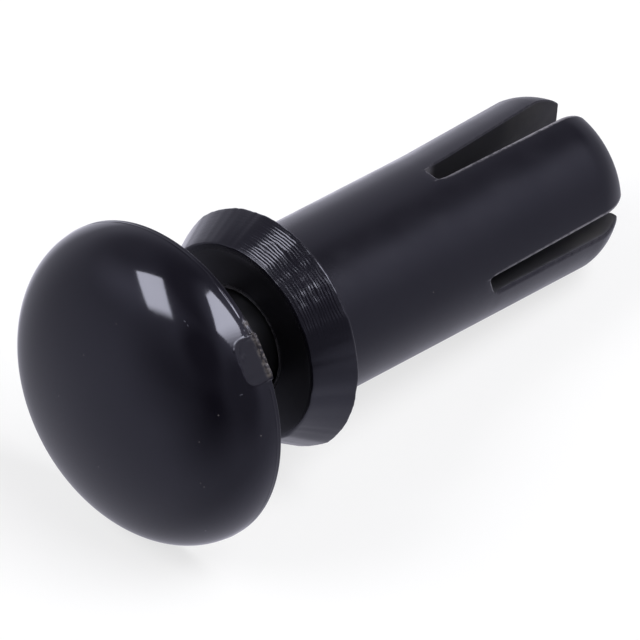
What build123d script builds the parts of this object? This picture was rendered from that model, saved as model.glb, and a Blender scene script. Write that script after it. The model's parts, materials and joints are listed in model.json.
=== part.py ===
from build123d import *
from math import asin, atan2, cos, hypot, sin, sqrt
import os

os.makedirs("parts", exist_ok=True)

# Push rivet of two nylon mouldings, lying on its side as it comes to rest: the rim of the head and the
# nose of the sleeve touch the floor. All sizes are in millimetres. A station is a distance along the
# rivet's axis, 0 at the collar's bearing face and growing towards the nose.

# Sleeve
shank_dia = 3.9  # outside of the tubular shank, for a 4 mm hole
shank_length = 9.2  # bearing face of the collar to the end of the legs
bore_dia = 2.4  # hole for the pin
collar_dia = 5.45  # large end of the tapered collar, at the bearing face
collar_front_dia = 4.5  # small end, towards the head
collar_height = 0.94
collar_edge = 0.04  # rounding of the collar's two rims
collar_root = 0.08  # rounding where the shank leaves the bearing face
nose_length = 0.78  # stretch at the end of the legs that is rounded inwards
nose_radius = 1.26  # radius of that rounding
tip_bore_dia = 1.2  # opening between the ends of the legs
tip_bore_length = 0.3
ramp_length = 1.5  # the bore narrows over this length, just before the tip opening
slot_count = 4
slot_length = 4.28
slot_root_width = 0.42
slot_tip_width = 0.54  # the slots are moulded with draft, so they are wider at the end

# Pin
head_dia = 7.25
head_rise = 2.0  # height of the dome above the parting line
head_land = 0.12  # upright band between the parting line and the underside
land_edge = 0.03  # rounding of the land's lower edge
pin_raised = 2.34  # from the collar's small face to the head's underside, as supplied
point_edge = 0.1  # rounding of the point's end
gate_width = 1.05  # mark left by the moulding gate, on the side of the head
gate_height = 0.6
gate_proud = 0.05  # how far it stands out of the rim
gate_angle = 52.0  # degrees about the axis, from the top towards -Y

# Fits
pin_clearance = 0.05  # all round, between the pin and the bore
neck_fillet = pin_clearance  # where the pin's shank leaves the head, so that it enters the bore's mouth
recess_clearance = 0.1  # all round, between the collar and the hollow under the head
seat_clearance = 0.02  # between the collar and the hollow's ceiling, pin pushed home
rim_clearance = 0.03  # between the head's rim and the bearing face, pin pushed home
near = 0.005  # how closely a round edge is matched when it is looked up

# Radii and stations of the sleeve
shank_r = shank_dia / 2
bore_r = bore_dia / 2
tip_bore_r = tip_bore_dia / 2
collar_r = collar_dia / 2
collar_front_r = collar_front_dia / 2
nose_start = shank_length - nose_length
nose_turn = asin(nose_length / nose_radius)
nose_end_r = shank_r - nose_radius * (1 - cos(nose_turn))
slot_root = shank_length - slot_length
ramp_end = shank_length - tip_bore_length
ramp_start = ramp_end - ramp_length

# Radii and stations of the pin. Pushed home, its point fills the ramp between the legs.
head_r = head_dia / 2
pin_r = bore_r - pin_clearance
point_end_r = tip_bore_r - pin_clearance
underside = -(collar_height + pin_raised)
parting = underside - head_land
apex = parting - head_rise
travel = -underside - rim_clearance
point_start = ramp_start - travel
pin_end = ramp_end - travel
recess_ceiling = underside - (collar_height + seat_clearance - rim_clearance)
recess_mouth_r = collar_r + recess_clearance
recess_ceiling_r = collar_front_r + recess_clearance
gate_top = underside - gate_height
gate_top_r = head_r * sqrt(1 - ((parting - gate_top) / head_rise) ** 2)
gate_root_r = (head_r + recess_mouth_r) / 2

# Lying pose. The floor touches the rim at one point and the nose at the two edges of the lowest slot, so
# the lean is that of the line from the rim that touches the nose's rounding. A collar wide enough to reach
# that line would meet the floor first.
nose_centre_r = sqrt(shank_r**2 - (slot_tip_width / 2) ** 2) - nose_radius
reach_along = nose_start - underside
reach_across = head_r - nose_centre_r
nose_lean = atan2(reach_across, reach_along) - asin(nose_radius / hypot(reach_along, reach_across))
collar_lean = atan2(head_r - collar_r, -underside)
lean = min(nose_lean, collar_lean)

# The origin is on the floor, under the middle of the lying rivet.
tip_edge_r = sqrt(nose_end_r**2 - (slot_tip_width / 2) ** 2)
dome_reach = parting * cos(lean) - hypot(head_rise * cos(lean), head_r * sin(lean))
tip_reach = shank_length * cos(lean) + tip_edge_r * sin(lean)
collar_x = -(dome_reach + tip_reach) / 2
collar_z = head_r * cos(lean) + underside * sin(lean)

# Profiles are drawn on the upright plane through the axis: local X is the station, local Y the radius.
nose_dir = Vector(cos(lean), 0, -sin(lean))
side = Plane(origin=(collar_x, 0, collar_z), x_dir=nose_dir, z_dir=(0, -1, 0))
rivet_axis = Axis(side.origin, nose_dir)


def plane_at(turn):
    """The profile plane turned about the rivet's axis, in degrees, from the top towards -Y."""
    return Plane(
        origin=side.origin,
        x_dir=nose_dir,
        z_dir=side.z_dir.rotate(Axis((0, 0, 0), nose_dir), turn),
    )


def rims(part, station, radius):
    """The round edges of a part with this radius, at this station."""

    def is_rim(edge):
        at_station = abs((edge.arc_center - side.origin).dot(nose_dir) - station) < near
        return at_station and abs(edge.radius - radius) < near

    return part.edges().filter_by(GeomType.CIRCLE).filter_by(is_rim)


# Sleeve: tapered collar, tubular shank, and four legs parted by slots
with BuildPart() as sleeve:
    with BuildSketch(side):
        with BuildLine():
            Polyline(
                (nose_start, shank_r),
                (0, shank_r),
                (0, collar_r),
                (-collar_height, collar_front_r),
                (-collar_height, bore_r),
                (ramp_start, bore_r),
                (ramp_end, tip_bore_r),
                (shank_length, tip_bore_r),
                (shank_length, nose_end_r),
            )
            ThreePointArc(
                (shank_length, nose_end_r),
                (
                    nose_start + nose_radius * sin(nose_turn / 2),
                    shank_r - nose_radius * (1 - cos(nose_turn / 2)),
                ),
                (nose_start, shank_r),
            )
        make_face()
    revolve(axis=rivet_axis)

    fillet(rims(sleeve, -collar_height, collar_front_r), radius=collar_edge)
    fillet(rims(sleeve, 0, collar_r), radius=collar_edge)
    fillet(rims(sleeve, 0, shank_r), radius=collar_root)

    for slot_turn in range(0, 180, 360 // slot_count):
        with BuildSketch(plane_at(slot_turn)):
            with BuildLine():
                Polyline(
                    (slot_root, -slot_root_width / 2),
                    (shank_length, -slot_tip_width / 2),
                    (shank_length, slot_tip_width / 2),
                    (slot_root, slot_root_width / 2),
                    close=True,
                )
            make_face()
        extrude(amount=shank_dia, both=True, mode=Mode.SUBTRACT)

sleeve.part.label = "sleeve"
export_step(sleeve.part, "parts/sleeve.step")


# Pin: domed head with a hollow that takes the collar, and a shank with a point
with BuildPart() as pin:
    with BuildSketch(side):
        with BuildLine():
            EllipticalCenterArc((parting, 0), head_rise, head_r, start_angle=90, arc_size=90)
            Polyline(
                (parting, head_r),
                (underside, head_r),
                (underside, recess_mouth_r),
                (recess_ceiling, recess_ceiling_r),
                (recess_ceiling, pin_r),
                (point_start, pin_r),
                (pin_end, point_end_r),
                (pin_end, 0),
                (apex, 0),
            )
        make_face()
    revolve(axis=rivet_axis)

    fillet(rims(pin, underside, head_r), radius=land_edge)
    fillet(rims(pin, recess_ceiling, pin_r), radius=neck_fillet)
    fillet(rims(pin, pin_end, point_end_r), radius=point_edge)

    # Gate mark: a flat wedge, flush with the dome at its top and proud at the rim
    with BuildSketch(plane_at(gate_angle)):
        with BuildLine():
            Polyline(
                (underside, gate_root_r),
                (underside, head_r + gate_proud),
                (gate_top, gate_top_r),
                (gate_top, gate_root_r),
                close=True,
            )
        make_face()
    extrude(amount=gate_width / 2, both=True)

pin.part.label = "pin"
export_step(pin.part, "parts/pin.step")
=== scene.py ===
"""Looks of the plastic push rivet: a polished black pin in a satin black sleeve, lying on a pale floor."""

import json
from math import acos, asin, atan2, cos, pi, radians, sin, sqrt, tan

import bmesh
import bpy
import numpy as np
from mathutils import Matrix, Vector


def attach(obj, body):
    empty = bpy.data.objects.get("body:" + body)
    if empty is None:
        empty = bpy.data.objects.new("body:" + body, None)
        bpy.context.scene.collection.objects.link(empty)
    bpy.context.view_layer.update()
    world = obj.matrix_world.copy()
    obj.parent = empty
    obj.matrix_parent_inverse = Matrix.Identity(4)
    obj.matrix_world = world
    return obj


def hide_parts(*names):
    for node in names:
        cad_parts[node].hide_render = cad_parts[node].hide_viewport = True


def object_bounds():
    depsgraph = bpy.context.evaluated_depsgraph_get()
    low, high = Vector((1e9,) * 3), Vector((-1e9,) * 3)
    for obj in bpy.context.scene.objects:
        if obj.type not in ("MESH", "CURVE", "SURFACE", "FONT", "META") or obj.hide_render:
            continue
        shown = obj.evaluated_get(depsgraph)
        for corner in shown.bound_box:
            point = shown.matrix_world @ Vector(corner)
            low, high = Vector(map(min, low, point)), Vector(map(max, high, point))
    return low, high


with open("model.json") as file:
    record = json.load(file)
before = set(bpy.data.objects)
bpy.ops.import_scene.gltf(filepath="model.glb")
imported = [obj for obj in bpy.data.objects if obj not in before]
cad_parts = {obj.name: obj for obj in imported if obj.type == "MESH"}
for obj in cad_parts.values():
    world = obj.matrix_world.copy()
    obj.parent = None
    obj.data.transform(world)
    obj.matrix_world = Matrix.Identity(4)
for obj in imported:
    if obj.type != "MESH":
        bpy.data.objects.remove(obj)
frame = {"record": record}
cad_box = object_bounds()

# ---- Axes
# The rivet's own axes, from the frame. A station is a distance along the rivet's axis, 0 at the collar's
# bearing face and growing towards the nose. A turn is an angle about the axis, 0 at the top and growing
# towards -Y.

MM = 0.001
mounts = {mount["name"]: mount for mount in frame["record"]["mounts"]}
nose_dir = Vector(mounts["shank"]["axis"]).normalized()
shank_point = Vector(mounts["shank"]["pos_m"])
face_point = Vector(mounts["bearing_face"]["pos_m"])
collar_centre = shank_point - nose_dir * (shank_point - face_point).dot(nose_dir)
top_dir = nose_dir.cross(Vector((0, 1, 0)))
near_dir = Vector((0, -1, 0))
lean = atan2(-nose_dir.z, nose_dir.x)

# Sizes of the sleeve, in millimetres
shank_r = mounts["shank"]["dims"]["r_mm"]
shank_length = 9.2
bore_r = 1.2
bore_edge = 0.05  # rounding of the bore's mouth in the collar
collar_r = 2.725
collar_front_r = 2.25
collar_height = 0.94
collar_front_edge = 0.06  # rounding of the collar's small rim
collar_edge = 0.05  # rounding of its large rim
collar_root = 0.08  # rounding between the collar and the shank
nose_length = 0.78
nose_radius = 1.26
nose_edge = 0.06  # rounding where the nose meets the ends of the legs
tip_bore_r = 0.6
tip_bore_length = 0.3
ramp_length = 1.5
LEG_EDGES = (0.05, 0.12, 0.05, 0.05)  # rounding along the edges of each leg
root_edge = 0.07  # rounding where the shank meets a slot's floor

# Sizes of the pin, in millimetres
head_r = 3.625
head_rise = 2.0
head_land = 0.12
land_edge = 0.03
underside = -3.28  # station of the head's underside
pin_r = 1.15
pin_end = 5.65
point_length = 1.5
point_end_r = 0.55
point_edge = 0.1
askew = 0.03  # how far the head sits above the axis, as the pin has play in its bore
recess_mouth_r = 2.86
recess_ceiling_r = 2.35
recess_depth = 0.97
recess_edge = 0.06
neck_fillet = 0.05

parting = underside - head_land
nose_start = shank_length - nose_length
nose_turn = asin(nose_length / nose_radius)
nose_end_r = shank_r - nose_radius * (1 - cos(nose_turn))


def outward(turn):
    """The unit vector away from the axis at a turn: cos(turn) towards the top and sin(turn) towards -Y."""
    turn = np.asarray(turn)
    return np.cos(turn)[..., None] * np.array(top_dir) + np.sin(turn)[..., None] * np.array(near_dir)


def place(station, radius, turn):
    """Points of the row frame, in metres: along the axis by station, then out from it by radius, in the
    direction of the turn."""
    station, radius, turn = np.broadcast_arrays(station, radius, turn)
    along = station[..., None] * np.array(nose_dir)
    return np.array(collar_centre) + MM * (along + radius[..., None] * outward(turn))


def smooth(value, low, high):
    """0 below low, 1 above high, and the cubic 3t^2 - 2t^3 between them."""
    t = np.clip((value - low) / (high - low), 0, 1)
    return t * t * (3 - 2 * t)


def bell(value, middle, width):
    """1 at the middle, falling off on both sides as exp(-((value - middle) / width)^2)."""
    return np.exp(-(((value - middle) / width) ** 2))


def joined(heights, knot):
    """The heights in a row, repeated without end and joined smoothly by 3t^2 - 2t^3, read at a knot."""
    low = np.floor(knot).astype(int)
    t = knot - low
    t = t * t * (3 - 2 * t)
    return heights[low % len(heights)] * (1 - t) + heights[(low + 1) % len(heights)] * t


def ragged(position, spacing, seed, knots=4096):
    """An uneven line between -1 and 1: seeded random heights at even spacing, joined smoothly."""
    heights = np.random.default_rng(seed).uniform(-1, 1, knots)
    return joined(heights, np.asarray(position) / spacing + knots // 2)


def ragged_round(turn, knots, seed):
    """Such a line round the axis that closes on itself: the heights are at evenly spaced turns."""
    heights = np.random.default_rng(seed).uniform(-1, 1, knots)
    return joined(heights, (turn / (2 * pi)) % 1 * knots)


def crowded(count, crowd):
    """Shares from 0 to 1 that lie closer together near both ends: t - crowd * sin(2 pi t) / (2 pi)."""
    t = np.linspace(0, 1, count + 1)
    return t - crowd * np.sin(2 * pi * t) / (2 * pi)


def turned_profile(corners, run_step=0.1, arc_step=radians(15)):
    """A profile of (station, radius) points through corners (station, radius, rounding). A corner with a
    rounding becomes an arc tangent to both runs, and the runs between are cut into even steps."""
    stretches = []
    for index, (station, radius, rounding) in enumerate(corners):
        corner = np.array((station, radius))
        if rounding == 0 or index in (0, len(corners) - 1):
            stretches.append(corner[None, :])
            continue
        back = np.array(corners[index - 1][:2]) - corner
        ahead = np.array(corners[index + 1][:2]) - corner
        back, ahead = back / np.linalg.norm(back), ahead / np.linalg.norm(ahead)
        half = acos(np.clip(back @ ahead, -1, 1)) / 2
        middle = (back + ahead) / np.linalg.norm(back + ahead)
        centre = corner + middle * rounding / sin(half)
        first = corner + back * rounding / tan(half) - centre
        last = corner + ahead * rounding / tan(half) - centre
        sweep = pi - 2 * half
        share = np.linspace(0, 1, max(3, int(sweep / arc_step) + 2))[:, None]
        arc = (np.sin((1 - share) * sweep) * first + np.sin(share * sweep) * last) / sin(sweep)
        stretches.append(centre + arc)
    points = [stretches[0]]
    for before, after in zip(stretches, stretches[1:]):
        length = np.linalg.norm(after[0] - before[-1])
        steps = max(1, round(length / run_step))
        share = np.linspace(0, 1, steps + 1)[1:-1, None]
        points += [before[-1] * (1 - share) + after[0] * share, after]
    return np.vstack(points)


def grid_quads(index):
    """Quads between the neighbours of a grid of vertex numbers. They face away from the axis where the rows
    run towards the nose and the columns run with the turn."""
    corners = (index[:-1, :-1], index[:-1, 1:], index[1:, 1:], index[1:, :-1])
    return np.stack(corners, axis=-1).reshape(-1, 4)


def closed_columns(index):
    """The grid with its first column repeated at its end, so that it closes round the axis."""
    return np.concatenate([index, index[:, :1]], axis=1)


def moulding(name, points, faces, finish, marks):
    """A smooth shaded mesh object at the origin. Coinciding corners are merged, so the skin is closed.
    Marks are pairs of a name and one number for each point, which the finish reads."""
    mesh = bpy.data.meshes.new(name)
    mesh.from_pydata(points.tolist(), [], faces)
    for mark, values in marks:
        attribute = mesh.attributes.new(mark, "FLOAT", "POINT")
        attribute.data.foreach_set("value", np.asarray(values, np.float32).ravel())
    mesh.update()
    mesh.validate()
    mesh.polygons.foreach_set("use_smooth", np.ones(len(mesh.polygons), bool))
    mesh.materials.append(finish)
    merge_corners(mesh)
    piece = bpy.data.objects.new(name, mesh)
    bpy.context.scene.collection.objects.link(piece)
    return piece


def merge_corners(mesh, nearest=1e-8):
    """Merges points nearer than this, in metres, and drops faces that have no area left."""
    bm = bmesh.new()
    bm.from_mesh(mesh)
    bmesh.ops.remove_doubles(bm, verts=bm.verts, dist=nearest)
    bmesh.ops.dissolve_degenerate(bm, edges=bm.edges, dist=nearest)
    bm.to_mesh(mesh)
    bm.free()
    mesh.update()


# ---- Finishes

NOISE_MIDDLE = (0.3, 0.7)  # nearly all of a noise pattern lies in this range

# Ring marks on the collar's cone, in millimetres
TOOL_LEAN = 0.164  # mean slope that they give the cone
RING_PITCH = 0.06
RING_DEPTH = 0.0043
RING_RISE = 0.42  # share of each mark that is its steep side
RING_WANDER = 1.8  # how many pitches a mark may wander
RING_UNEVEN = (0.68, 1.03)  # least and greatest share of the depth
FINE_DEPTH = 0.0022  # depth of the finer lines between them


class Nodes:
    """A node tree and short ways to add nodes to it."""

    def __init__(self, owner):
        owner.use_nodes = True
        self.tree = owner.node_tree
        self.tree.nodes.clear()

    def node(self, kind, inputs=(), out=0, **settings):
        """A new shader node with its settings and inputs. An input is a number or another node's socket."""
        made = self.tree.nodes.new("ShaderNode" + kind)
        for key, value in settings.items():
            setattr(made, key, value)
        for key, value in dict(inputs).items():
            self.feed(made.inputs[key], value)
        return made.outputs[out] if made.outputs else made

    def feed(self, socket, value):
        """Links a socket to another node's output, or sets its value."""
        if isinstance(value, bpy.types.NodeSocket):
            self.tree.links.new(value, socket)
        else:
            socket.default_value = value

    def mark(self, name):
        """A number that the mesh holds for each of its points."""
        return self.node("Attribute", attribute_name=name, out=2)

    def maths(self, operation, *values):
        """A step of arithmetic."""
        return self.node("Math", enumerate(values), operation=operation)

    def vectors(self, operation, *values, out=0):
        """A step of vector arithmetic. Where it gives a number, such as a distance, out is 1."""
        return self.node("VectorMath", enumerate(values), out=out, operation=operation)

    def scaled(self, vector, scale):
        """A vector made longer by scale."""
        return self.node("VectorMath", {0: vector, 3: scale}, operation="SCALE")

    def ramp(self, value, low, high, to_low=0.0, to_high=1.0):
        """value turned from low..high to to_low..to_high, smoothly and no further."""
        inputs = {0: value, 1: low, 2: high, 3: to_low, 4: to_high}
        return self.node("MapRange", inputs, interpolation_type="SMOOTHSTEP")

    def blend(self, factor, first, second):
        """A colour between first and second."""
        inputs = {0: factor, 6: first, 7: second}
        return self.node("Mix", inputs, out=2, data_type="RGBA")

    def cover(self, colour, mask, share, over):
        """A colour with another over it, by a share of the mask."""
        return self.blend(self.maths("MULTIPLY", mask, share), colour, over)

    def at_least(self, value, *masks_and_levels):
        """The value, raised to each level where its mask is 1."""
        for mask, level in masks_and_levels:
            value = self.maths("MAXIMUM", value, self.maths("MULTIPLY", mask, level))
        return value

    def noise(self, vector, scale, detail=2.0, roughness=0.5):
        """A noise pattern between 0 and 1, with scale grains to the vector's unit."""
        inputs = {"Vector": vector, "Scale": scale, "Detail": detail, "Roughness": roughness}
        return self.node("TexNoise", inputs)

    def rivet_place(self):
        """Object coordinates turned to the rivet's own axes, in millimetres: station, side and height."""
        inputs = {
            "Vector": self.node("TexCoord", out=3),
            "Location": collar_centre,
            "Rotation": (0, lean, 0),
            "Scale": (MM, MM, MM),
        }
        return self.node("Mapping", inputs, vector_type="TEXTURE")

    def round_place(self, vector, round_scale, along_scale):
        """A place that follows the turning: the direction from the axis times round_scale, and the station
        times along_scale. A pattern read there is drawn out round the axis, and has no seam."""
        direction_out = self.vectors("NORMALIZE", self.vectors("MULTIPLY", vector, (0, 1, 1)))
        station = self.vectors("MULTIPLY", vector, (along_scale, 0, 0))
        return self.vectors("ADD", self.scaled(direction_out, round_scale), station)

    def specks(self, vector, per_mm, size, share):
        """1 inside a few small grains: round cells of a Voronoi pattern, kept where the cell's own random
        number is below share."""
        distance = self.node("TexVoronoi", {"Vector": vector, "Scale": per_mm})
        number = self.node("SeparateColor", {0: distance.node.outputs["Color"]})
        inside = self.ramp(distance, size * per_mm * 0.6, size * per_mm, 1.0, 0.0)
        return self.maths("MULTIPLY", self.maths("LESS_THAN", number, share), inside)

    def grain_at(self, vector, middle, size):
        """1 at the middle of a grain, falling to 0 at size from it."""
        return self.ramp(self.vectors("DISTANCE", vector, middle, out=1), size * 0.4, size, 1.0, 0.0)

    def stroke(self, vector, first, last, width):
        """1 along the line from first to last, falling to 0 at width from it. The nearest point of the line
        lies at the share t = (vector - first) . line / line . line, kept to 0..1."""
        line = last - first
        from_first = self.vectors("SUBTRACT", vector, first)
        along = self.vectors("DOT_PRODUCT", from_first, line, out=1)
        share = self.node("Math", {0: along, 1: line.length_squared}, operation="DIVIDE", use_clamp=True)
        distance = self.vectors("DISTANCE", from_first, self.scaled(line, share), out=1)
        return self.ramp(distance, width * 0.3, width, 1.0, 0.0)

    def ring_marks(self, spot):
        """Heights of the ring marks, in millimetres. The phase is the station over the pitch, moved by a
        noise. Its fraction t rises as t / rise and falls as (1 - t) / (1 - rise), whichever is less, times
        an uneven depth."""
        wander = self.maths("MULTIPLY", self.noise(self.round_place(spot, 4.5, 6.0), 1.0), RING_WANDER)
        rings = self.maths("DIVIDE", self.node("SeparateXYZ", {0: spot}), RING_PITCH)
        phase = self.maths("FRACT", self.maths("ADD", rings, wander))
        steep = self.maths("DIVIDE", phase, RING_RISE)
        easy = self.maths("DIVIDE", self.maths("SUBTRACT", 1.0, phase), 1 - RING_RISE)
        uneven = self.noise(self.round_place(spot, 5.5, 5.5), 1.0)
        depth = self.ramp(uneven, *NOISE_MIDDLE, *RING_UNEVEN)
        mark = self.maths("MULTIPLY", self.maths("MINIMUM", steep, easy), depth)
        return self.maths("MULTIPLY", mark, RING_DEPTH)

    def bump(self, height, strength, distance, below=None):
        """The normal of a skin with heights on it, in units of a distance in millimetres."""
        inputs = {"Height": height, "Strength": strength, "Distance": distance * MM}
        if below is not None:
            inputs["Normal"] = below
        return self.node("Bump", inputs)


class Finish(Nodes):
    """A material with one main shader."""

    def __init__(self, name):
        self.material = bpy.data.materials.new(name)
        super().__init__(self.material)
        self.output = self.tree.nodes.new("ShaderNodeOutputMaterial")
        self.shader = self.tree.nodes.new("ShaderNodeBsdfPrincipled")
        self.feed(self.output.inputs["Surface"], self.shader.outputs[0])

    def set(self, **inputs):
        """Feeds the main shader's inputs, whose names are given with _ for a space."""
        for name, value in inputs.items():
            self.feed(self.shader.inputs[name.replace("_", " ")], value)


# Linear colours, and what the nylon's gloss shares
NYLON = (0.0036, 0.0031, 0.0056, 1)
NYLON_PALE = (0.0052, 0.0046, 0.0074, 1)
HIDDEN_NYLON = (0.0036, 0.0034, 0.0036, 1)
CUT_NYLON = (0.0062, 0.0052, 0.0085, 1)
TORN_NYLON = (0.14, 0.125, 0.115, 1)
# Painted shade and light inside the slots: a coat darker deep in a slot and lighter towards the nose, where
# more light gets in
SLOT_PAINTED_SHADE = (0.0078, 0.0074, 0.0066, 1)
SLOT_PAINTED_LIGHT = (0.0290, 0.0275, 0.0250, 1)
SLOT_SHADE_TO_LIGHT = (7.1, 8.0)  # stations between which the painted shading in a slot goes from shade deep inside to light towards the nose
# Pale paint for highlights along edges: of the legs, the slots' roots, the bore's mouth and dots on the
# collar's large rim
EDGE_HIGHLIGHT_PAINT = (0.24, 0.23, 0.25, 1)
DUST = (0.12, 0.11, 0.105, 1)
SCRATCHED = (0.15, 0.155, 0.19, 1)
REFRACTION = 1.6
SHEEN_TINT = (0.83, 0.84, 1.0, 1)

# Grains of dust on the head: degrees down the dome and round the axis, and size in millimetres
HEAD_DUST = (
    (39.5, 4, 0.024),
    (22.5, -17, 0.020),
    (15, -89.5, 0.018),
    (19, 164, 0.022),
    (58, 66.5, 0.024),
    (47.5, 78, 0.020),
    (51.5, 101.5, 0.022),
    (49.5, 100, 0.018),
    (64.5, 127.5, 0.030),
    (78.5, 77.5, 0.026),
)
# Short scratches on the head: degrees down the dome and round the axis of both ends, and width in
# millimetres
HEAD_SCRATCHES = (
    ((62, 28), (62, 28.5), 0.018),
    ((62, 30), (62, 30.5), 0.014),
    ((71, 61.5), (72, 61.5), 0.022),
)


def dome_spot(down, turn, lift=0.0):
    """A place on the head's dome in the rivet's own axes, from two angles in degrees: down from the dome's
    top, as in dome_profile, and round the axis. lift raises it as the head is raised by its lean."""
    radius = head_r * sin(radians(down))
    side, height = -radius * sin(radians(turn)), radius * cos(radians(turn)) + lift
    return Vector((parting - head_rise * cos(radians(down)), side, height))


def polished_nylon():
    """The pin: black, glossy from a polished mould, with a matt gate mark and its torn lip, faint smears,
    stray dust and a few scratches. The hollow and the neck, which no polish reached, are dull."""
    f = Finish("polished_black_nylon")
    spot = f.rivet_place()
    gate = f.mark("gate_mark")
    hidden = f.mark("unpolished")

    stray = f.specks(spot, 1.1, 0.022, 0.16)
    dust = f.maths("MULTIPLY", f.maths("SUBTRACT", 1.0, gate), stray)
    for down, turn, size in HEAD_DUST:
        dust = f.maths("MAXIMUM", dust, f.grain_at(spot, dome_spot(down, turn), size))
    scratches = 0.0
    for first, last, width in HEAD_SCRATCHES:
        stroke = f.stroke(spot, dome_spot(*first, askew), dome_spot(*last, askew), width)
        scratches = f.maths("MAXIMUM", scratches, stroke)

    torn = f.noise(spot, 7.0, 3.0, 0.55)
    pale = f.ramp(f.noise(spot, 13.0, 2.0, 0.6), 0.4, 0.62, 0.1, 1.0)
    colour = f.blend(f.noise(spot, 0.5, 3.0), NYLON, NYLON_PALE)
    colour = f.blend(hidden, colour, HIDDEN_NYLON)
    colour = f.cover(colour, gate, f.ramp(torn, *NOISE_MIDDLE, 0.65, 1.0), CUT_NYLON)
    colour = f.cover(colour, f.mark("torn_lip"), pale, TORN_NYLON)
    colour = f.cover(colour, dust, 0.75, DUST)
    colour = f.cover(colour, scratches, 0.28, SCRATCHED)

    roughness = f.ramp(f.noise(spot, 1.3, 4.0, 0.6), 0.35, 0.75, 0.075, 0.11)
    worn = ((gate, 0.36), (f.mark("parting_flash"), 0.2), (hidden, 0.4), (dust, 0.5), (scratches, 0.3))
    matt = f.at_least(0.0, (gate, 0.4), (hidden, 0.5))
    shine = f.maths("MULTIPLY", f.maths("SUBTRACT", 1.0, matt), 0.5)
    slow = f.bump(f.noise(spot, 0.9, 1.0), 1.0, 0.002)
    tear = f.bump(f.maths("MULTIPLY", torn, gate), 0.12, 0.02, slow)
    f.set(Base_Color=colour, Roughness=f.at_least(roughness, *worn), Specular_IOR_Level=shine, Normal=tear)
    f.set(IOR=REFRACTION, Specular_Tint=SHEEN_TINT)
    return f.material


def satin_nylon():
    """The sleeve: black, satin, with a fine moulded grain. The collar's cone is smoother and carries the
    ring-shaped tool marks of its mould. The slots, the bore and the collar's front face are dull and a
    little dusty, with a paler coat of painted shading: painted shade deep in the slots and painted light
    towards the nose. Pale painted highlights run along the edges."""
    f = Finish("satin_black_nylon")
    spot = f.rivet_place()
    cone = f.mark("collar_cone")
    # The dull places get a paler coat of painted shade and light, besides their roughness
    inside = f.mark("dull_with_painted_shading")
    dust = f.specks(spot, 1.0, 0.024, 0.22)

    # The coat is patchy, and painted darker deep in the slots and lighter towards the nose: painted shade
    # and light
    uneven_coat = f.ramp(f.noise(spot, 3.0, 3.0), *NOISE_MIDDLE, 0.7, 1.0)
    slot_light_share = f.ramp(f.node("SeparateXYZ", {0: spot}), *SLOT_SHADE_TO_LIGHT)
    broken = f.ramp(f.noise(spot, 9.0, 3.0, 0.6), 0.34, 0.56, 0.35, 1.0)
    colour = f.blend(f.noise(spot, 0.6, 3.0), NYLON, NYLON_PALE)
    colour = f.cover(colour, inside, uneven_coat, f.blend(slot_light_share, SLOT_PAINTED_SHADE, SLOT_PAINTED_LIGHT))
    # Painted highlights along the edges, broken up by a noise
    colour = f.cover(colour, f.mark("painted_edge_highlight"), broken, EDGE_HIGHLIGHT_PAINT)
    colour = f.cover(colour, dust, 0.5, DUST)

    fine = f.maths("SUBTRACT", f.noise(f.round_place(spot, 6.0, 20.0), 1.0, 1.5), 0.5)
    fine = f.maths("MULTIPLY", f.maths("MULTIPLY", fine, cone), FINE_DEPTH)
    rings = f.maths("MULTIPLY", f.ring_marks(spot), f.mark("tool_marked"))
    cut_rings = f.maths("ADD", f.maths("ADD", rings, fine), f.mark("tool_lean_height"))
    grain = f.bump(f.noise(spot, 26.0), 0.5, 0.002)

    smoother = f.at_least(0.0, (cone, 0.045), (f.mark("crisp_edge"), 0.11))
    roughness = f.maths("SUBTRACT", f.ramp(f.noise(spot, 1.6, 3.0), *NOISE_MIDDLE, 0.22, 0.27), smoother)
    roughness = f.at_least(roughness, (inside, 0.6), (dust, 0.6))
    f.set(Base_Color=colour, Roughness=roughness, Normal=f.bump(cut_rings, 1.0, 1.0, grain))
    f.set(IOR=REFRACTION, Specular_Tint=SHEEN_TINT)
    return f.material


# ---- Pin

# Gate mark: the flat where the moulding was cut from its runner, at the head's rim
gate_turn = radians(52.2)
gate_width = 1.04
gate_top = underside - 0.60
gate_overhang = 0.15  # how far its outline goes on past the underside
gate_rounding = 0.2
gate_raised = 0.02
gate_sunk = 0.05  # it cuts no deeper than this
# Short raised strokes on it: stations and places across
GATE_STROKES = ((-3.73, -0.38), (-3.69, -0.16), (-3.76, -0.12), (-3.77, -0.30))
stroke_height = 0.004
stroke_length = 0.05
stroke_width = 0.016

# Scuffed strip, along the rim from its start to the gate mark, and the torn lip of both on the underside
scuff_start = -0.98
scuff_height = (0.06, 0.27)
scuff_depth = 0.003
lip_width = 1.15
lip_middle = -0.18
lip_height = 0.020
lip_uneven = 0.009

# Thin flash along the parting line
ridge_height = 0.012
ridge_width = 0.016
GATE_GAP = (36, 39, 61, 64)  # the flash is cut away between these turns, in degrees

rim_turns = (-18, 14)  # degrees from the gate mark's middle between which the columns lie closer together
pole_r = 0.08  # radius of the last row before the pin's tip


def gate_distance(station, across):
    """How far a point lies outside the gate mark's outline, a rectangle with rounded corners and a torn
    edge. across is the distance from its middle, round the head."""
    half_height = (underside - gate_top) / 2 + gate_overhang
    middle = gate_top + half_height
    torn = 0.010 * ragged(across, 0.07, 3) + 0.008 * ragged(station, 0.06, 4)
    out_x = np.abs(across) - (gate_width / 2 - gate_rounding)
    out_y = np.abs(station - middle) - (half_height - gate_rounding)
    corner = np.hypot(np.maximum(out_x, 0), np.maximum(out_y, 0))
    return corner + np.minimum(np.maximum(out_x, out_y), 0) - gate_rounding + torn


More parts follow.
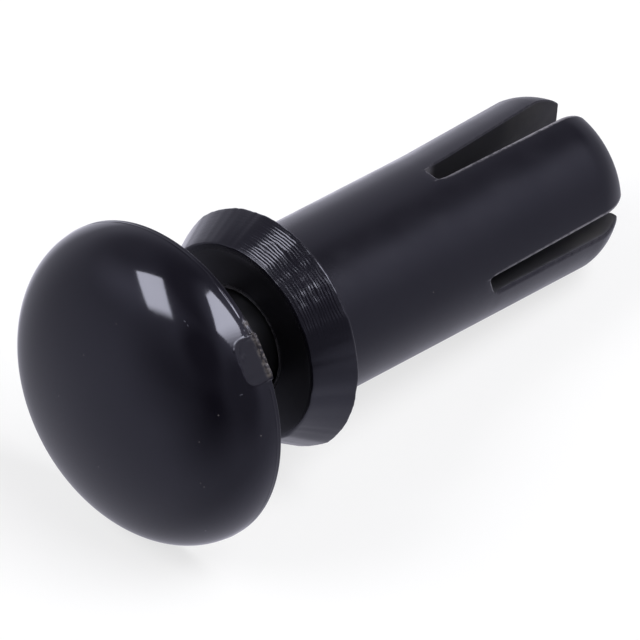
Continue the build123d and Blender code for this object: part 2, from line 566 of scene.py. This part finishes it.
def scuff_distance(station, across):
    """How far a point lies outside the scuffed strip, which widens along the rim to the gate mark."""
    end = 0.1 - gate_width / 2
    share = np.clip((across - scuff_start) / (end - scuff_start), 0, 1)
    narrow, wide = scuff_height
    height = narrow + (wide - narrow) * share + 0.015 * ragged(across, 0.05, 8)
    return np.maximum(underside - height - station, np.maximum(scuff_start - across, across - end))


def dome_profile():
    """The head's dome, a quarter of an ellipse from near its top to the parting line, closer rows near
    the rim where the gate mark is."""
    coarse = np.linspace(radians(1.2), radians(72), 60)
    fine = np.linspace(radians(72), radians(90), 60)[1:]
    t = np.concatenate([coarse, fine])
    return np.stack([parting - head_rise * np.cos(t), head_r * np.sin(t)], axis=1)


def pin_profile():
    """The pin's profile from the top of its dome to its tip, and how many rows are the head's skin."""
    dome = dome_profile()
    ceiling = underside - recess_depth
    rim = [(parting, head_r, 0), (underside, head_r, land_edge), (underside, recess_mouth_r, 0)]
    land = turned_profile(rim, 0.012)
    land = land[land[:, 1] > head_r - 0.06]
    rest = turned_profile(
        [
            (underside, head_r - 0.08, 0),
            (underside, recess_mouth_r, recess_edge),
            (ceiling, recess_ceiling_r, recess_edge),
            (ceiling, pin_r, neck_fillet),
            (pin_end - point_length, pin_r, 0.05),
            (pin_end, point_end_r, point_edge),
            (pin_end, pole_r, 0),
        ],
        0.25,
    )
    return np.vstack([dome, land[1:], rest]), len(dome) + len(land) - 1


def pin_turns():
    """The turns of the pin's columns: every 1.5 degrees, and every 0.2 degrees at the gate mark."""
    coarse = np.arange(0, 360, 1.5)
    fine = np.degrees(gate_turn) + np.arange(*rim_turns, 0.2)
    coarse = coarse[(coarse < fine[0] - 0.7) | (coarse > fine[-1] + 0.7)]
    return np.radians(np.sort(np.concatenate([coarse, fine])))


def flash_ridge(station, turns):
    """The flash along the parting line, as a share of its height: uneven round the rim, higher at one
    place, and cut away beside the gate mark."""
    gap_start, gap_full, gap_fade, gap_end = np.radians(GATE_GAP)
    uneven = 0.55 + 0.3 * ragged_round(turns, 90, 7) + 0.5 * bell(turns, radians(30), radians(5))
    uneven = uneven * (1 - smooth(turns, gap_start, gap_full) * smooth(turns, gap_end, gap_fade))
    return bell(station, parting, ridge_width) * uneven


def gate_rise(station, radius, away, across):
    """How much higher than the head the gate mark lies: a nearly flat cut, from just under the dome to a
    little proud of the rim, with a rough face and short strokes. away is the turn from its middle."""
    share = np.clip((station - gate_top) / (underside - gate_top), 0, 1)
    top_r = head_r * sqrt(1 - ((parting - gate_top) / head_rise) ** 2) - 0.01
    flat_r = (top_r + (head_r + gate_raised - top_r) * share) / np.cos(away)
    rough = 0.0012 * ragged(across, 0.12, 11) * ragged(station, 0.12, 12)
    strokes = sum(bell(across, x, stroke_length) * bell(station, s, stroke_width) for s, x in GATE_STROKES)
    return np.maximum(flat_r - radius, -gate_sunk) + rough + stroke_height * strokes


def push_pin():
    """The pin: its profile turned about the axis, where the flash, the gate mark, the scuffed strip and the
    lip are added to the radius of the head's skin."""
    profile, skin_rows = pin_profile()
    turns = pin_turns()
    station = np.repeat(profile[:, :1], len(turns), axis=1)
    radius = np.repeat(profile[:, 1:], len(turns), axis=1)
    away = turns - gate_turn
    across = np.where(np.cos(away) > 0, radius * np.sin(away), head_r)
    outer = (np.arange(len(profile)) < skin_rows)[:, None]

    ridge = outer * flash_ridge(station, turns)
    radius = radius + ridge_height * ridge
    cut = outer * smooth(-gate_distance(station, across), -0.02, 0.035)
    radius = radius + cut * gate_rise(station, radius, away, across)
    scuffed = outer * smooth(-scuff_distance(station, across), -0.01, 0.03)
    radius = radius + scuff_depth * scuffed * ragged(across, 0.08, 13)

    # The ragged lip on the underside
    beside = outer * smooth(np.abs(across - lip_middle), lip_width / 2 + 0.15, lip_width / 2)
    on_land = smooth(station, parting + 0.02, parting + 0.07)
    radius = radius + beside * on_land * (lip_height + lip_uneven * ragged(across, 0.08, 5))
    at_edge = smooth(station, underside - 0.16, underside - 0.07)
    torn_lip = beside * at_edge * (0.55 + 0.45 * ragged(across, 0.06, 15))

    # The poles close the dome and the tip. The pin leans about its tip, in the play of its bore
    points = place(station, radius, turns[None, :]).reshape(-1, 3)
    pole_stations = np.array([parting - head_rise, pin_end])
    points = np.vstack([points, place(pole_stations, 0, 0)])
    from_end = (pin_end - np.append(station, pole_stations)) / (pin_end - parting)
    points = points + MM * askew * from_end[:, None] * np.array(top_dir)
    index = closed_columns(np.arange(station.size).reshape(station.shape))
    faces = grid_quads(index).tolist()
    top, tip = station.size, station.size + 1
    faces += [[top, b, a] for a, b in zip(index[0], index[0, 1:])]
    faces += [[tip, a, b] for a, b in zip(index[-1], index[-1, 1:])]

    neck_and_hollow = (np.arange(len(profile)) >= skin_rows) & (profile[:, 0] < 0.5)
    marks = {
        "gate_mark": np.maximum(cut, 0.8 * scuffed),
        "parting_flash": ridge,
        "torn_lip": torn_lip,
        "unpolished": np.repeat(neck_and_hollow.astype(float), len(turns)),
    }
    marks = [(name, np.append(values, [0, 0])) for name, values in marks.items()]
    return moulding("push_pin", points, faces, polished_nylon(), marks)


# ---- Sleeve

# Each slot: its turn, the places across it of its two walls, at the root and at the nose, and the stations
# of its floor at both walls. The wall of the lower turn comes first.
true_slot = {"low_wall": (-0.21, -0.27), "high_wall": (0.21, 0.27), "root": (4.92, 4.92)}
SLOTS = (
    {"turn": 0, "low_wall": (-0.17, -0.40), "high_wall": (0.27, 0.28), "root": (4.74, 4.72)},
    {"turn": 90, "low_wall": (-0.20, -0.32), "high_wall": (0.23, 0.22), "root": (4.80, 4.98)},
    {"turn": 180, **true_slot},
    {"turn": 270, **true_slot},
)
# How far each leg stands outwards at its nose's shoulder and at its end, starting with the leg after the
# first slot
LEG_SPREAD = ((0.0, -0.015), (0.0, -0.08), (0.0, 0.0), (0.086, 0.0))
LEG_EDGE_HIGHLIGHT = (1.0, 0.08, 0.3, 0.08)  # how strongly the edges of each leg are made smoother and painted with a pale highlight
EDGE_CREST = (0.0, 0.5, 1.0, 1.0, 1.0, 0.6, 0.2)  # share of the painted highlight across the first columns of a leg, from its wall

# Columns of the mesh across a slot, across a leg and round each edge of a leg, and rows along it
slot_columns = 10
leg_columns = 86
edge_columns = 4
bore_rows = 24
shank_rows = 26
leg_rows = 22
slot_share = crowded(slot_columns, 0.5)
leg_share = crowded(leg_columns, 0.4)
edge_roll = np.linspace(0, pi / 2, edge_columns + 1)

# How untrue the collar and the shank are
lump_height = 0.010
nick_height = 0.006
collar_swell = 0.006
collar_lean = 0.022
collar_lean_turn = radians(10)
bulge_height = 0.07
bulge_turn = radians(128)
bulge_width = radians(22)
shank_swell = 0.012
off_centre = (0.060, 0.0078)  # how far the skin is off the bore's centre, and how much less for each mm
off_centre_turn = radians(134.5)

# The cone lies between the roundings of the collar's rims. The side that is marked faces this turn
cone_start = -collar_height + 0.033
cone_end = -0.073
marked_turn = radians(30)
# Glints on the collar's large rim face this turn: smoother there, with dots of painted highlight
rim_glint_turn = radians(48)

SLEEVE_MARKS = ("collar_cone", "tool_marked", "tool_lean_height", "dull_with_painted_shading", "crisp_edge", "painted_edge_highlight")


def collar_profile():
    """The sleeve's profile round the collar, from inside the bore to the shank."""
    corners = [
        (0.6, bore_r, 0),
        (-collar_height, bore_r, bore_edge),
        (-collar_height, collar_front_r, collar_front_edge),
        (0, collar_r, collar_edge),
        (0, shank_r, collar_root),
        (0.6, shank_r, 0),
    ]
    return turned_profile(corners, 0.08, radians(9))


def leg_profile():
    """A leg from its nose's rounding, over its end and back through the narrowing bore, as (station,
    radius) points."""
    nose_angle = np.linspace(0, nose_turn, 14)
    nose_station = nose_start + nose_radius * np.sin(nose_angle)
    nose = np.stack([nose_station, shank_r - nose_radius * (1 - np.cos(nose_angle))], axis=1)
    ramp_end = shank_length - tip_bore_length
    corners = [
        tuple(nose[-2]) + (0,),
        (shank_length, nose_end_r, nose_edge),
        (shank_length, tip_bore_r, 0.05),
        (ramp_end, tip_bore_r, 0.04),
        (ramp_end - ramp_length, bore_r, 0.04),
        (ramp_end - ramp_length - 0.4, bore_r, 0),
    ]
    return np.vstack([nose[:-2], turned_profile(corners, 0.12)])


def skin_direction(profile):
    """The direction that the skin faces at each point of a profile: its tangent turned a quarter turn."""
    tangent = np.gradient(profile, axis=0)
    tangent /= np.linalg.norm(tangent, axis=1)[:, None]
    return np.stack([-tangent[:, 1], tangent[:, 0]], axis=1)


def between(ends, share):
    """A value that goes evenly from the first of two ends to the second."""
    return ends[0] + (ends[1] - ends[0]) * share


def walls(slot, station):
    """The places of a slot's two walls at a station, even between the slot's root and the nose."""
    share = np.clip((station - slot["root"][0]) / (shank_length - slot["root"][0]), 0, 1)
    return between(slot["low_wall"], share), between(slot["high_wall"], share)


def wall_turn(slot, offset, radius):
    """The turn of a point that lies offset to the side of the slot's middle, at a radius from the axis."""
    return radians(slot["turn"]) + np.arcsin(np.clip(offset / radius, -1, 1))


def slot_after(number):
    """The slot beyond a leg, and the full turn to add where that is the first slot again."""
    if number == len(SLOTS) - 1:
        return SLOTS[0], 2 * pi
    return SLOTS[number + 1], 0


def leg_roots(number):
    """The stations of a leg's root, from the slot before it to the slot after it."""
    return between((SLOTS[number]["root"][1], slot_after(number)[0]["root"][0]), leg_share)


def root_rounding():
    """The rounding at a slot's root for each of its columns: full in the middle and none at the walls."""
    return root_edge * smooth(np.minimum(slot_share, 1 - slot_share), 0, 0.2)


def untrue_collar(station, radius, turn):
    """The collar leans by the cosine of the turn, its large rim bulges at one place, and its cone and rim
    are uneven."""
    on_collar = smooth(radius, shank_r + 0.1, collar_front_r)
    swell = collar_swell + lump_height * ragged_round(turn, 49, 21)
    swell = swell + 0.4 * lump_height * ragged_round(turn, 122, 22)
    bulge = bell(turn, bulge_turn, bulge_width) * smooth(radius, collar_front_r, collar_r)
    swell = swell + bulge_height * bulge
    at_rim = bell(station, -0.02, 0.05) * smooth(radius, collar_r - 0.12, collar_r - 0.03)
    swell = swell + nick_height * at_rim * ragged_round(turn, 190, 23)
    shift = -collar_lean * np.cos(turn - collar_lean_turn)
    return station + on_collar * shift, radius + on_collar * swell


def untrue_shank(station, radius, turn):
    """The shank's skin is a little off the bore's centre, less so towards the nose, and a little full. The
    bore isn't moved."""
    skin = smooth(radius, bore_r + 0.2, shank_r - 0.1) * (1 - smooth(radius, shank_r + 0.1, collar_front_r))
    off = off_centre[0] - off_centre[1] * station
    return radius + skin * (shank_swell + off * np.cos(turn - off_centre_turn))


def leg_stand(number, station, radius, root):
    """How far a leg stands outwards. It changes evenly from near the root to the nose's shoulder, and from
    there to the end. Inwards, only the skin is drawn in and not the bore."""
    shoulder, end = LEG_SPREAD[number]
    rise = np.clip((station - root - 0.5) / (nose_start - root - 0.5), 0, 1)
    stand = shoulder * rise + (end - shoulder) * np.clip((station - nose_start) / nose_length, 0, 1)
    skin = smooth(radius, bore_r + 0.15, nose_end_r - 0.1)
    return np.maximum(stand, 0) + np.minimum(stand, 0) * skin


def plain_marks(dull, crisp, worn):
    """The sleeve's marks for a stretch that is away from the collar. dull also carries the paler coat of
    painted shading, and worn the pale painted highlight along edges.
    """
    none = np.zeros(dull.size)
    return [none, none, none, dull.ravel(), crisp.ravel(), worn.ravel()]


def sleeve_ring():
    """The part of the sleeve that closes round the axis. Its rows go from the slots' roots along the bore,
    over the collar and back along the shank, and its columns are those of each slot and then of the leg
    after it. Gives its points, the grid of their numbers and their marks."""
    collar = collar_profile()
    base_radius = np.concatenate([np.full(bore_rows, bore_r), collar[:, 1], np.full(shank_rows, shank_r)])
    wall_radius = np.clip(base_radius, bore_r, shank_r)
    bore_share = np.linspace(0, 1, bore_rows + 1)[:-1, None]
    shank_share = np.linspace(0, 1, shank_rows + 1)[1:, None]
    stations, turns = [], []
    for number, slot in enumerate(SLOTS):
        after, wrap = slot_after(number)
        first = wall_turn(slot, slot["low_wall"][0], wall_radius)[:, None]
        second = wall_turn(slot, slot["high_wall"][0], wall_radius)[:, None]
        third = wall_turn(after, after["low_wall"][0], wall_radius)[:, None] + wrap
        turns += [between((first, second), slot_share[:-1]), between((second, third), leg_share[:-1])]
        slot_roots = between(slot["root"], slot_share)[:-1]
        for root, edge in ((slot_roots, root_rounding()[:-1]), (leg_roots(number)[:-1], 0)):
            bore_part = between((root, collar[0, 0]), bore_share)
            collar_part = np.repeat(collar[:, :1], len(root), axis=1)
            shank_part = between((collar[-1, 0], root - edge), shank_share)
            stations.append(np.vstack([bore_part, collar_part, shank_part]))
    station = np.concatenate(stations, axis=1)
    turn = np.concatenate(turns, axis=1)
    radius = np.repeat(base_radius[:, None], station.shape[1], axis=1)

    on_cone = (radius > shank_r + 0.05) & (station < -0.001)
    cone = on_cone * smooth(station, cone_start, cone_start + 0.02)
    cone = cone * smooth(-station, -cone_end, -cone_end + 0.02)
    marked_side = smooth(np.cos(turn - marked_turn), 0.6, 0.92)
    lean_height = TOOL_LEAN * (np.clip(station, cone_start, cone_end) - cone_start) * marked_side
    lean_height = lean_height * smooth(radius, shank_r + 0.1, collar_front_r - 0.02)
    bore_mouth = (radius < bore_r + 0.06) & (station < -collar_height + 0.051)
    bore_side = (np.arange(len(base_radius)) < bore_rows + 2)[:, None] & ~bore_mouth
    front_face = (station < -collar_height + 0.001) & (radius < collar_front_r - 0.07) & ~bore_mouth
    large_rim = (radius > collar_r - 0.03) & (station > -0.06)
    # Dots of glint on the large rim: smoother, with a pale painted highlight; the bore's mouth also gets a
    # painted highlight (worn)
    rim_glints = smooth(np.cos(turn - rim_glint_turn), 0.75, 0.9) * smooth(ragged_round(turn, 90, 24), -0.5, 0.5)
    # dull: the bore, and half on the collar's front face; besides roughness it carries the paler coat of
    # painted shading
    dull = np.where(bore_side, 1.0, np.where(front_face, 0.5, 0.0))
    crisp = np.maximum(bore_mouth, large_rim * rim_glints)
    worn = np.maximum(0.3 * bore_mouth, 0.2 * large_rim * rim_glints)

    station, radius = untrue_collar(station, radius, turn)
    radius = untrue_shank(station, radius, turn)
    marks = [values.ravel() for values in (cone, cone * marked_side, lean_height, dull, crisp, worn)]
    index = np.arange(station.size).reshape(station.shape)
    return place(station, radius, turn).reshape(-1, 3), closed_columns(index), marks


def slot_floor(number, ring, count):
    """A slot's floor: the skin rolls over the shank's edge at the slot's root and goes down to the bore. At
    an angle b the roll lies edge * (1 - sin b) before the floor and edge * (1 - cos b) under the skin. The
    roll ends at the walls. Gives its new points, their faces and their marks."""
    slot = SLOTS[number]
    start = number * (slot_columns + leg_columns)
    outer_edge = ring[-1, start : start + slot_columns + 1]
    inner_edge = ring[0, start : start + slot_columns + 1]
    root = between(slot["root"], slot_share)
    edge = root_rounding()
    roll = np.linspace(0, pi / 2, 5)[1:, None]
    station = root - edge * (1 - np.sin(roll))
    radius = shank_r - edge * (1 - np.cos(roll))
    station = np.vstack([station, root, root])
    radius = np.vstack([radius, radius[-1] - 0.03 * edge / root_edge, radius[-1] * 0.4 + bore_r * 0.6])
    low = wall_turn(slot, slot["low_wall"][0], radius)
    high = wall_turn(slot, slot["high_wall"][0], radius)
    turn = between((low, high), slot_share)
    index = count + np.arange(station.size).reshape(station.shape)
    faces = grid_quads(np.vstack([outer_edge, index, inner_edge])).tolist()
    # inside: dull, with the paler coat of painted shading, more of it further down the floor
    inside = np.repeat([0.0, 0.0, 0.1, 0.3, 0.8, 1.0], slot_columns + 1)
    # crisp and worn along the root's edge: smoother, with a pale painted highlight
    crisp = (1 - inside) * (inside < 0.5)
    points = place(station, untrue_shank(station, radius, turn), turn)
    return points.reshape(-1, 3), faces, plain_marks(inside, crisp, 0.45 * crisp)


def sleeve_leg(number, ring, count):
    """A leg: a grid whose rows follow its profile and whose columns run from slot wall to slot wall. The
    outermost columns roll over the leg's edge: at an angle a they lie edge * (1 - cos a) from the wall and
    edge * (1 - sin a) under the skin. Gives its new points, their faces and their marks."""
    slot = SLOTS[number]
    after, wrap = slot_after(number)
    profile = leg_profile()
    root = leg_roots(number)
    out_part = between((root, nose_start), np.linspace(0, 1, leg_rows + 1)[1:-1, None])
    back_part = between((profile[-1, 0], root), np.linspace(0, 1, leg_rows // 2 + 1)[1:-1, None])
    whole_rows = np.vstack([out_part, np.repeat(profile[:, :1], leg_columns + 1, axis=1), back_part])
    line = np.vstack(
        [
            np.stack([out_part[:, 0], np.full(len(out_part), shank_r)], axis=1),
            profile,
            np.stack([back_part[:, 0], np.full(len(back_part), bore_r)], axis=1),
        ]
    )
    facing = skin_direction(line)
    edge = (LEG_EDGES[number] * smooth(line[:, 0], root.max(), root.max() + 0.12))[:, None]
    edge_station = line[:, :1] - facing[:, :1] * edge * (1 - np.sin(edge_roll))
    edge_radius = line[:, 1:] - facing[:, 1:] * edge * (1 - np.sin(edge_roll))
    beside = edge * (1 - np.cos(edge_roll))
    first = wall_turn(slot, walls(slot, edge_station)[1] + beside, edge_radius)
    last = wall_turn(after, walls(after, edge_station)[0] - beside, edge_radius) + wrap
    station = np.concatenate([edge_station, whole_rows[:, 1:-1], edge_station[:, ::-1]], axis=1)
    skin_radius = np.repeat(line[:, 1:], leg_columns - 1, axis=1)
    radius = np.concatenate([edge_radius, skin_radius, edge_radius[:, ::-1]], axis=1)
    skin_turn = between((first[:, -1:], last[:, -1:]), leg_share[None, 1:-1])
    turn = np.concatenate([first, skin_turn, last[:, ::-1]], axis=1)
    stand = leg_stand(number, station, radius, root.max())
    points = place(station, untrue_shank(station, radius, turn), turn)
    points = points + MM * stand[..., None] * outward((first[0, 0] + last[0, 0]) / 2)

    # Dull inside and on the walls, with the paler coat of painted shading there; crisp along the outer
    # edges, with a pale painted highlight there, more towards the nose
    outer_skin = smooth(facing[:, 1], -0.2, 0.3)[:, None]
    to_skin = np.concatenate([edge_roll, np.full(leg_columns - 1, pi / 2), edge_roll[::-1]]) / (pi / 2)
    dull = np.maximum(1 - outer_skin, 1 - smooth(to_skin, 0.1, 0.6))
    at_edge = np.pad(np.zeros(leg_columns - 1), edge_columns + 1, constant_values=1)
    crisp = LEG_EDGE_HIGHLIGHT[number] * outer_skin * at_edge * (1 - dull)
    unworn = np.zeros(len(at_edge) - 2 * len(EDGE_CREST))
    crest = np.concatenate([EDGE_CREST, unworn, EDGE_CREST[::-1]])
    toward_nose = 0.5 + 0.5 * smooth(station, root.max(), nose_start)
    # worn: the pale painted highlight, by the crest across the edge
    worn = LEG_EDGE_HIGHLIGHT[number] * outer_skin * crest * toward_nose

    start = number * (slot_columns + leg_columns) + slot_columns
    index = count + np.arange(station.size).reshape(station.shape)
    grid = np.vstack([widened(ring[-1], start), index, widened(ring[0], start)])
    faces = [face for face in map(distinct, grid_quads(grid).tolist()) if len(face) > 2]
    faces.append(distinct(grid[:, 0].tolist()))
    faces.append(distinct(grid[::-1, -1].tolist()))
    return points.reshape(-1, 3), faces, plain_marks(dull, crisp, worn)


def widened(row, start):
    """A leg's stretch of a ring row, with its ends repeated for the columns round the leg's edges."""
    return np.pad(row[start : start + leg_columns + 1], edge_columns, mode="edge")


def distinct(face):
    """The face without corners that follow themselves."""
    return [corner for position, corner in enumerate(face) if corner != face[position - 1]]


def slotted_sleeve():
    """The sleeve: the ring with the collar, the floors of the slots and the four legs."""
    ring_points, ring, ring_marks = sleeve_ring()
    points = [ring_points]
    faces = grid_quads(ring).tolist()
    marks = [ring_marks]
    for stretch in (slot_floor, sleeve_leg):
        for number in range(len(SLOTS)):
            new_points, new_faces, new_marks = stretch(number, ring, sum(map(len, points)))
            points.append(new_points)
            faces += new_faces
            marks.append(new_marks)
    marks = zip(SLEEVE_MARKS, [np.concatenate(stretches) for stretches in zip(*marks)])
    return moulding("slotted_sleeve", np.vstack(points), faces, satin_nylon(), marks)


# ---- Stage

camera_azimuth = -44.44
camera_elevation = 40.56
camera_roll = radians(-1.2)
camera_distance = 0.26
camera_lens = 687.5
aim = Vector((-1.128, -0.726, 3.201)) * MM

# Two soft windows: radiance, and the middle, half the length and half the width, in metres from the rivet
LEFT_WINDOW = 7.4, (-0.590, 0.300, 0.750), (-0.244, -0.124, -0.043), (0.073, -0.156, 0.033)
RIGHT_WINDOW = 7.7, (0.268, -0.260, 0.928), (-0.232, 0.004, -0.567), (0.177, 0.028, -0.072)

# The panes that a window fades out by at one end: first and last place along its length, first and last
# place across it, both in half sides from the middle, and share of the light
LEFT_FADE = (
    (-1.0, 0.74, -1, 1, 1.0),
    (0.74, 0.86, -1, 1, 0.8),
    (0.86, 0.97, -1, 1, 0.48),
    (0.97, 1.08, -0.6, 1, 0.22),
)
RIGHT_FADE = (
    (-1.0, 0.95, -1, 1, 1.0),
    (0.95, 0.99, -0.9, 1, 0.94),
    (0.99, 1.03, -0.75, 1, 0.85),
    (1.03, 1.07, -0.6, 0.94, 0.72),
    (1.07, 1.11, -0.46, 0.86, 0.53),
    (1.11, 1.15, -0.33, 0.76, 0.33),
    (1.15, 1.19, -0.2, 0.62, 0.15),
)

# What surrounds the rivet in its gloss: a grey tent and floor, with soft lighter and darker places. Each is
# an azimuth and elevation in degrees, the angles where it is full and where it ends, and its level.
TENT_LEVEL = 0.37
TENT_TINT = (0.955, 0.945, 1.09, 1)
TENT_PLACES = (
    ("floor_left", -105, -36, 28, 66, 0.50),
    ("behind", 150, -8, 16, 56, 0.49),
    ("floor_right_behind", 95, -38, 20, 42, 0.58),
    ("low_behind", 147, -18, 12, 27, 0.93),
    ("floor_behind", 142, -34, 5, 22, 1.35),
    ("floor_beyond_shank", 119, -19, 4, 14, 1.4),
    ("left_window_spill", -142, 50, 14, 38, 0.68),
    ("left_gap", -90, 14, 0, 32, 0.19),
    ("back_wall", 180, 47, 10, 40, 0.25),
    ("roof_behind", 125, 62, 8, 30, 0.20),
    ("roof", 11, 79, 24, 50, 0.10),
    ("right_window_spill", 23, 48, 16, 45, 0.68),
    ("open_side", -56, 7, 0, 43, 0.02),
    ("open_side_top", -60, 36, 10, 25, 0.05),
    ("open_side_right", -16, 16, 14, 36, 0.15),
    ("right_gap", 91, 36, 8, 22, 0.15),
    ("floor_right", 26, -52, 14, 45, 0.67),
)
WHITE = (1, 1, 1, 1)
FLOOR_LIT = (0.5, 0.5, 0.5, 1)  # the floor's colour for the light that it throws back
FLOOR_SEEN = (0.92, 0.92, 0.92, 1)  # and for the camera
floor_white = 0.72  # share of plain white that lightens the floor for the camera, shadow and all


def direction(azimuth, elevation):
    """The unit vector towards an azimuth, 0 at -Y and 90 at +X, and an elevation, both in degrees."""
    a, e = radians(azimuth), radians(elevation)
    return Vector((sin(a) * cos(e), -cos(a) * cos(e), sin(e)))


def set_camera():
    """A long lens, looking down on the head and along the sleeve."""
    data = bpy.data.cameras.new("camera")
    data.lens = camera_lens
    data.clip_start = 0.01
    data.clip_end = 10
    camera = bpy.data.objects.new("camera", data)
    bpy.context.scene.collection.objects.link(camera)
    back = direction(camera_azimuth, camera_elevation)
    camera.location = aim + back * camera_distance
    level = (-back).to_track_quat("-Z", "Y").to_matrix()
    camera.rotation_euler = (level @ Matrix.Rotation(camera_roll, 3, "Z")).to_euler()
    bpy.context.scene.camera = camera


def soft_window(name, fade, radiance, *sides):
    """A rectangular soft lamp that faces the rivet and fades at one end, made of panes side by side."""
    centre, half_length, half_width = map(Vector, sides)
    for number, (first, last, left, right, share) in enumerate(fade):
        pane_centre = centre + half_length * (first + last) / 2 + half_width * (left + right) / 2
        toward = half_length.cross(half_width).normalized()
        if toward.dot(pane_centre) < 0:
            toward = -toward
        long_axis = half_length.normalized()
        turned = Matrix((long_axis, toward.cross(long_axis), toward)).transposed()
        data = bpy.data.lights.new(f"{name}_{number}", "AREA")
        data.shape = "RECTANGLE"
        data.size = half_length.length * (last - first)
        data.size_y = half_width.length * (right - left)
        data.energy = radiance * share * pi * data.size * data.size_y
        lamp = bpy.data.objects.new(f"{name}_{number}", data)
        bpy.context.scene.collection.objects.link(lamp)
        lamp.location = collar_centre + pane_centre
        lamp.rotation_euler = turned.to_euler()
        lamp.visible_camera = False


def tent_level(f, way):
    """The tent's level in a direction. Place by place it is blended to the place's own level, by the cubic
    3t^2 - 2t^3 of the angle to its middle."""
    level = TENT_LEVEL
    for _, azimuth, elevation, full, end, value in TENT_PLACES:
        cosine = f.vectors("DOT_PRODUCT", way, direction(azimuth, elevation), out=1)
        share = f.ramp(f.maths("ARCCOSINE", cosine), radians(full), radians(end), 1.0, 0.0)
        level = f.node("Mix", {0: share, 2: level, 3: value}, data_type="FLOAT")
    return level


def tent():
    """The tent, which the camera sees as plain white. The gloss of the rivet sees the tent's own greys."""
    world = bpy.data.worlds.new("tent")
    bpy.context.scene.world = world
    nodes = Nodes(world)
    seen = nodes.node("LightPath", out=0)
    way = nodes.node("TexCoord", out=0)
    level = nodes.node("Mix", {0: seen, 2: tent_level(nodes, way), 3: 1.0}, data_type="FLOAT")
    tint = nodes.blend(seen, TENT_TINT, WHITE)
    back = nodes.node("Background", {"Color": tint, "Strength": level})
    nodes.node("OutputWorld", {"Surface": back})


def floor_finish():
    """The floor: matt, lightened for the camera, and in the gloss of the rivet at the tent's level in the
    direction from the head."""
    f = Finish("pale_floor")
    seen = f.node("LightPath", out=0)
    glossy = f.node("LightPath", out=3)
    f.set(Base_Color=f.blend(seen, FLOOR_LIT, FLOOR_SEEN), Roughness=1.0, Specular_IOR_Level=0.0)
    head_centre = collar_centre + nose_dir * (parting - 0.5) * MM - Vector((0, 0, cad_box[0].z))
    away = f.vectors("SUBTRACT", f.node("TexCoord", out=3), head_centre)
    level = tent_level(f, f.vectors("NORMALIZE", away))
    glow = f.node("Emission", {"Color": TENT_TINT, "Strength": level})
    white = f.node("Emission", {"Color": WHITE, "Strength": 1.0})
    lightened = {0: f.maths("MULTIPLY", seen, floor_white), 1: f.shader.outputs[0], 2: white}
    pale = f.node("MixShader", lightened)
    mixed = f.node("MixShader", {0: glossy, 1: pale, 2: glow})
    f.feed(f.output.inputs["Surface"], mixed)
    return f.material


def pale_floor():
    """A square floor under the rivet."""
    side = 1.5
    mesh = bpy.data.meshes.new("floor")
    corners = [(-side, -side, 0), (side, -side, 0), (side, side, 0), (-side, side, 0)]
    mesh.from_pydata(corners, [], [(0, 1, 2, 3)])
    mesh.materials.append(floor_finish())
    floor = bpy.data.objects.new("floor", mesh)
    bpy.context.scene.collection.objects.link(floor)
    floor.location.z = cad_box[0].z


bpy.context.scene.view_settings.view_transform = "Standard"
set_camera()
tent()
soft_window("left_window", LEFT_FADE, *LEFT_WINDOW)
soft_window("right_window", RIGHT_FADE, *RIGHT_WINDOW)
pale_floor()

pin = push_pin()
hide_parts("pin")
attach(pin, "pin")

sleeve = slotted_sleeve()
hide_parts("sleeve")
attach(sleeve, "sleeve")
